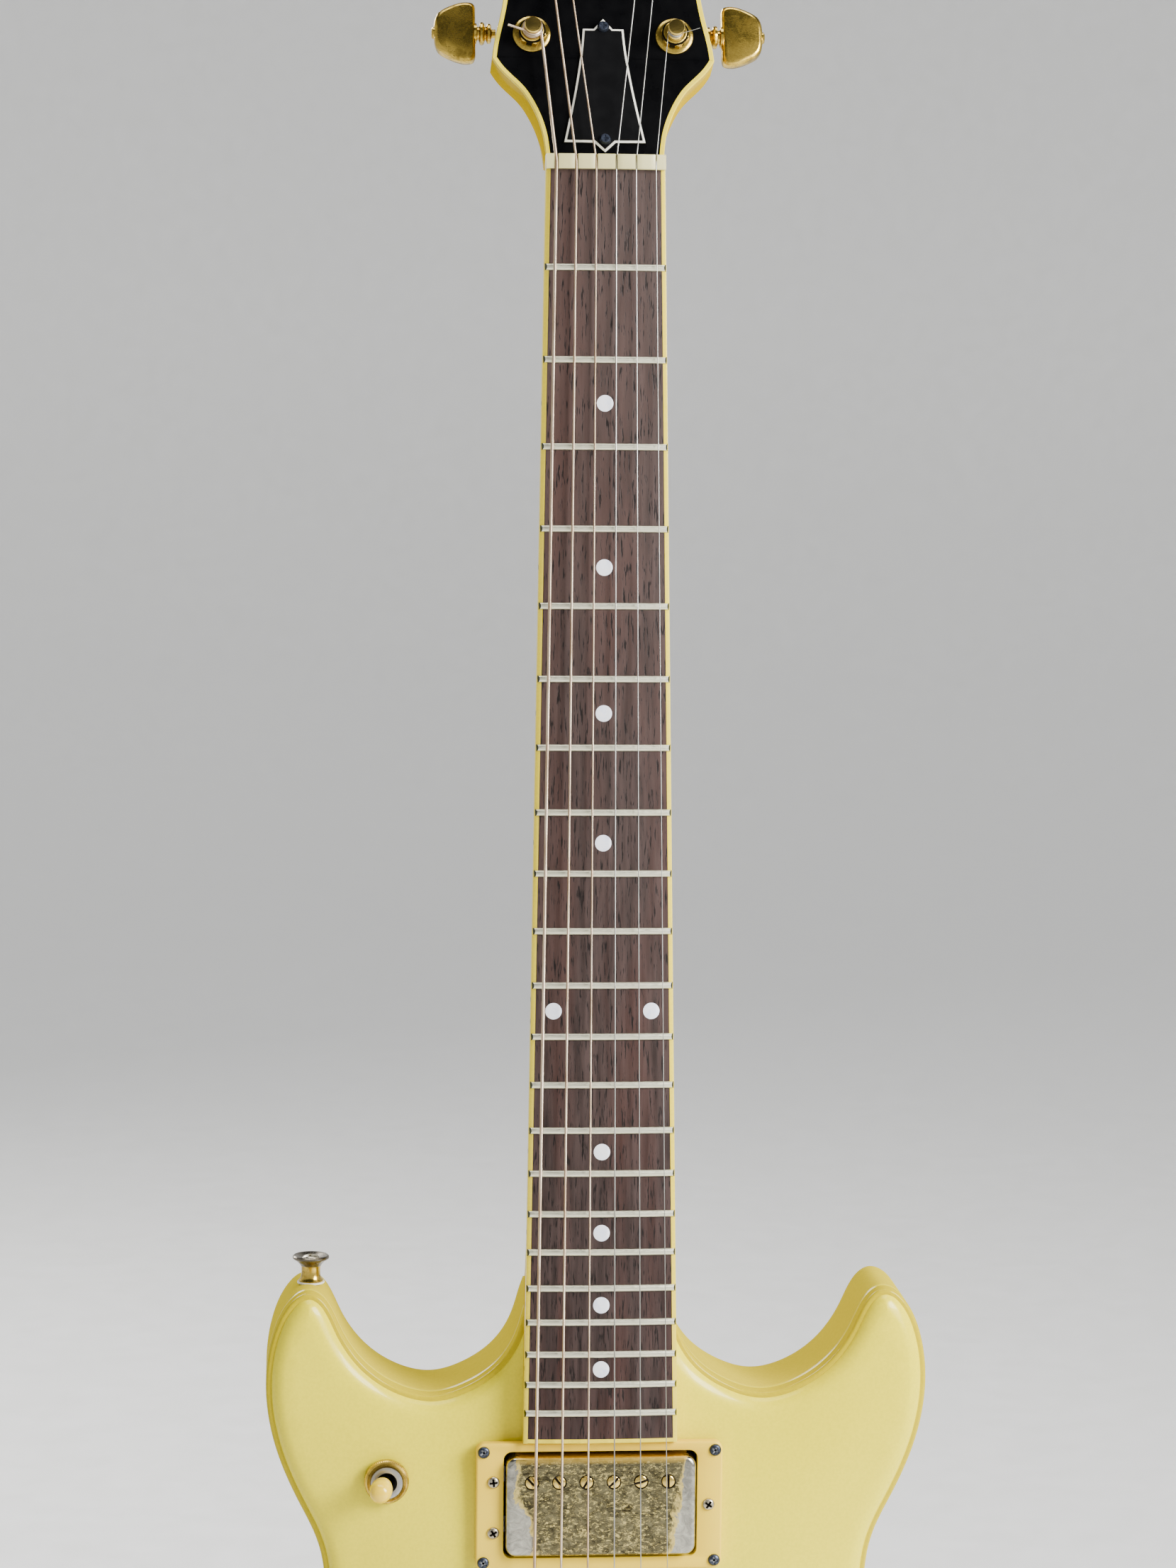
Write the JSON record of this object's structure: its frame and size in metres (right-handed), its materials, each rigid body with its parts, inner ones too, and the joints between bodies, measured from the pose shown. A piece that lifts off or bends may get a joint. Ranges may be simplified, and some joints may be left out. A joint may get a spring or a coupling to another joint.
{
  "type": "electric guitar",
  "caption": "Double-cutaway solid-body electric guitar with a glued-in bound neck, two covered pickups, a fixed bridge with sliding saddles, and geared tuners",
  "frame": {"origin": "seat of the end strap button: the bottom edge of the body on the centreline, at the middle of the rim's thickness", "axes": "+Z along the centreline from the body's bottom to the headstock, -Y out of the front with the strings, +X towards the treble side"},
  "size_m": [0.3316, 0.1174, 0.981],
  "materials": {
    "cream_lacquer": "clear gloss lacquer over cream paint, aged to pale yellow",
    "body_binding": "aged yellow binding under lacquer",
    "neck_lacquer": "gloss lacquer over wood, aged yellow",
    "rosewood": "open-grained, unlacquered",
    "neck_binding": "aged yellow binding",
    "fret_nickel": "polished nickel silver",
    "pearl": "pearly white",
    "nut_ivory": "aged ivory-coloured",
    "black_lacquer": "gloss black",
    "steel": "plain steel",
    "black_plastic": "gloss black",
    "gold": "gold plated, lightly tarnished",
    "worn_gold": "gold plating worn through to nickel at both ends, tarnished",
    "cream_plastic": "moulded cream-tan plastic",
    "nickel_screws": "nickel and blackened screws",
    "black_screws": "blackened steel",
    "string_steel": "plain and bronze-toned wound steel",
    "wire_insulation": "insulated cable"
  },
  "bodies": {
    "guitar": {"back_covers": "black_plastic", "body_binding": "body_binding", "body_wood": "cream_lacquer", "bridge_base": "gold", "bridge_posts": "gold", "cover_screws": "black_screws", "fretboard": "rosewood", "fretboard_binding": "neck_binding", "frets": "fret_nickel", "headstock_binding": "neck_binding", "headstock_veneer": "black_lacquer", "inlay_dots": "pearl", "jack_plate": "gold", "jack_socket": "gold", "neck_wood": "neck_lacquer", "nut": "nut_ivory", "pickup_bobbins": "black_plastic", "pickup_covers": "worn_gold", "pickup_ring_bridge": "cream_plastic", "pickup_ring_neck": "cream_plastic", "pickup_screws": "nickel_screws", "pickup_undersides": "steel", "pole_screws": "gold", "potentiometers": "steel", "saddle_screws": "gold", "strap_buttons": "gold", "strings": "string_steel", "stud_bushings": "gold", "switch_frame": "steel", "switch_nut": "gold", "tailpiece": "gold", "tailpiece_studs": "gold", "truss_cover": "black_plastic", "truss_rod": "steel", "tuner_bushings": "gold", "tuner_housings": "gold", "wiring": "wire_insulation"},
    "button_bass_1": {"tuner_button_bass_1": "gold"},
    "post_bass_1": {"tuner_post_bass_1": "gold"},
    "button_bass_2": {"tuner_button_bass_2": "gold"},
    "post_bass_2": {"tuner_post_bass_2": "gold"},
    "button_bass_3": {"tuner_button_bass_3": "gold"},
    "post_bass_3": {"tuner_post_bass_3": "gold"},
    "button_treble_1": {"tuner_button_treble_1": "gold"},
    "post_treble_1": {"tuner_post_treble_1": "gold"},
    "button_treble_2": {"tuner_button_treble_2": "gold"},
    "post_treble_2": {"tuner_post_treble_2": "gold"},
    "button_treble_3": {"tuner_button_treble_3": "gold"},
    "post_treble_3": {"tuner_post_treble_3": "gold"},
    "knob_1": {"knob_1": "gold"},
    "knob_2": {"knob_2": "gold"},
    "knob_3": {"knob_3": "gold"},
    "knob_4": {"knob_4": "gold"},
    "switch": {"switch_lever": "cream_plastic"},
    "saddle_1": {"saddle_1": "gold"},
    "saddle_2": {"saddle_2": "gold"},
    "saddle_3": {"saddle_3": "gold"},
    "saddle_4": {"saddle_4": "gold"},
    "saddle_5": {"saddle_5": "gold"},
    "saddle_6": {"saddle_6": "gold"}
  },
  "joints": [
    {"name": "turn_button_bass_1", "type": "hinge", "parent": "guitar", "child": "button_bass_1", "pos_m": [-0.0261, 0.037, 0.86806], "axis": [1, 0, 0], "continuous": true},
    {"name": "turn_post_bass_1", "type": "hinge", "parent": "guitar", "child": "post_bass_1", "pos_m": [-0.0261, 0.01556, 0.86608], "axis": [0, -0.952, 0.3062], "continuous": true},
    {"name": "turn_button_bass_2", "type": "hinge", "parent": "guitar", "child": "button_bass_2", "pos_m": [-0.0234, 0.04857, 0.90405], "axis": [1, 0, 0], "continuous": true},
    {"name": "turn_post_bass_2", "type": "hinge", "parent": "guitar", "child": "post_bass_2", "pos_m": [-0.0234, 0.02713, 0.90207], "axis": [0, -0.952, 0.3062], "continuous": true},
    {"name": "turn_button_bass_3", "type": "hinge", "parent": "guitar", "child": "button_bass_3", "pos_m": [-0.0218, 0.06014, 0.94003], "axis": [1, 0, 0], "continuous": true},
    {"name": "turn_post_bass_3", "type": "hinge", "parent": "guitar", "child": "post_bass_3", "pos_m": [-0.0218, 0.03871, 0.93805], "axis": [0, -0.952, 0.3062], "continuous": true},
    {"name": "turn_button_treble_1", "type": "hinge", "parent": "guitar", "child": "button_treble_1", "pos_m": [0.0261, 0.037, 0.86806], "axis": [1, 0, 0], "continuous": true},
    {"name": "turn_post_treble_1", "type": "hinge", "parent": "guitar", "child": "post_treble_1", "pos_m": [0.0261, 0.01556, 0.86608], "axis": [0, -0.952, 0.3062], "continuous": true},
    {"name": "turn_button_treble_2", "type": "hinge", "parent": "guitar", "child": "button_treble_2", "pos_m": [0.0234, 0.04857, 0.90405], "axis": [1, 0, 0], "continuous": true},
    {"name": "turn_post_treble_2", "type": "hinge", "parent": "guitar", "child": "post_treble_2", "pos_m": [0.0234, 0.02713, 0.90207], "axis": [0, -0.952, 0.3062], "continuous": true},
    {"name": "turn_button_treble_3", "type": "hinge", "parent": "guitar", "child": "button_treble_3", "pos_m": [0.0218, 0.06014, 0.94003], "axis": [1, 0, 0], "continuous": true},
    {"name": "turn_post_treble_3", "type": "hinge", "parent": "guitar", "child": "post_treble_3", "pos_m": [0.0218, 0.03871, 0.93805], "axis": [0, -0.952, 0.3062], "continuous": true},
    {"name": "turn_knob_1", "type": "hinge", "parent": "guitar", "child": "knob_1", "pos_m": [0.076, -0.0275, 0.146], "axis": [0, -1, 0], "range_deg": [-150, 150]},
    {"name": "turn_knob_2", "type": "hinge", "parent": "guitar", "child": "knob_2", "pos_m": [0.113, -0.0275, 0.124], "axis": [0, -1, 0], "range_deg": [-150, 150]},
    {"name": "turn_knob_3", "type": "hinge", "parent": "guitar", "child": "knob_3", "pos_m": [0.076, -0.0275, 0.1], "axis": [0, -1, 0], "range_deg": [-150, 150]},
    {"name": "turn_knob_4", "type": "hinge", "parent": "guitar", "child": "knob_4", "pos_m": [0.11, -0.0275, 0.078], "axis": [0, -1, 0], "range_deg": [-150, 150]},
    {"name": "flip_switch", "type": "hinge", "parent": "guitar", "child": "switch", "pos_m": [-0.0779, -0.0225, 0.3397], "axis": [0, 0, 1], "range_deg": [0, 15]},
    {"name": "slide_saddle_1", "type": "slide", "parent": "guitar", "child": "saddle_1", "axis": [0, 0, 1], "range_m": [-0.0016, 0.0016]},
    {"name": "slide_saddle_2", "type": "slide", "parent": "guitar", "child": "saddle_2", "axis": [0, 0, 1], "range_m": [-0.0016, 0.0016]},
    {"name": "slide_saddle_3", "type": "slide", "parent": "guitar", "child": "saddle_3", "axis": [0, 0, 1], "range_m": [-0.0016, 0.0016]},
    {"name": "slide_saddle_4", "type": "slide", "parent": "guitar", "child": "saddle_4", "axis": [0, 0, 1], "range_m": [-0.0016, 0.0016]},
    {"name": "slide_saddle_5", "type": "slide", "parent": "guitar", "child": "saddle_5", "axis": [0, 0, 1], "range_m": [-0.0016, 0.0016]},
    {"name": "slide_saddle_6", "type": "slide", "parent": "guitar", "child": "saddle_6", "axis": [0, 0, 1], "range_m": [-0.0016, 0.0016]}
  ],
  "couplings": [
    {"joint": "turn_post_bass_1", "follows": "turn_button_bass_1", "ratio": -0.055556},
    {"joint": "turn_post_bass_2", "follows": "turn_button_bass_2", "ratio": -0.055556},
    {"joint": "turn_post_bass_3", "follows": "turn_button_bass_3", "ratio": -0.055556},
    {"joint": "turn_post_treble_1", "follows": "turn_button_treble_1", "ratio": 0.055556},
    {"joint": "turn_post_treble_2", "follows": "turn_button_treble_2", "ratio": 0.055556},
    {"joint": "turn_post_treble_3", "follows": "turn_button_treble_3", "ratio": 0.055556}
  ]
}
